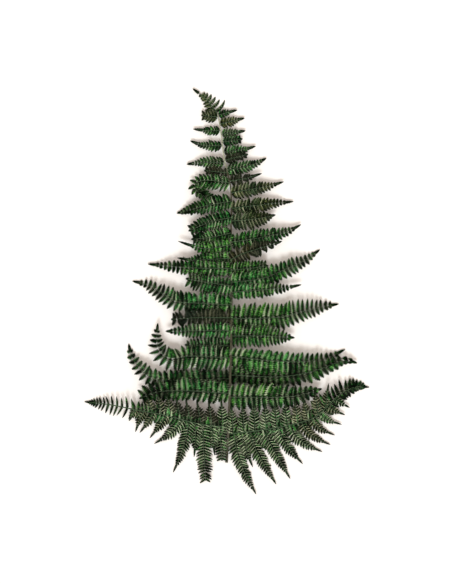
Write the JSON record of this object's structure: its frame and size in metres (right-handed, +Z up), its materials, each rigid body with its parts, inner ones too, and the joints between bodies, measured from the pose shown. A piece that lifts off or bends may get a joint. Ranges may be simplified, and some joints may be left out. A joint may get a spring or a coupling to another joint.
{
  "type": "fern frond",
  "caption": "Preserved green fern frond lying flat: a tapering stem with leafy side branches left and right, cut into narrow pointed leaflets, in a tall triangular outline.",
  "frame": {"origin": "on the surface the frond lies on, under the middle of its outline", "axes": "+Y along the stem from the cut end towards the tip, +X to the frond's right, +Z up, out of the upper face"},
  "size_m": [0.314, 0.4488, 0.0139],
  "materials": {
    "fern_leaf": "satin, preserved leaf"
  },
  "bodies": {
    "root": {"fern_frond": "fern_leaf"}
  },
  "joints": []
}
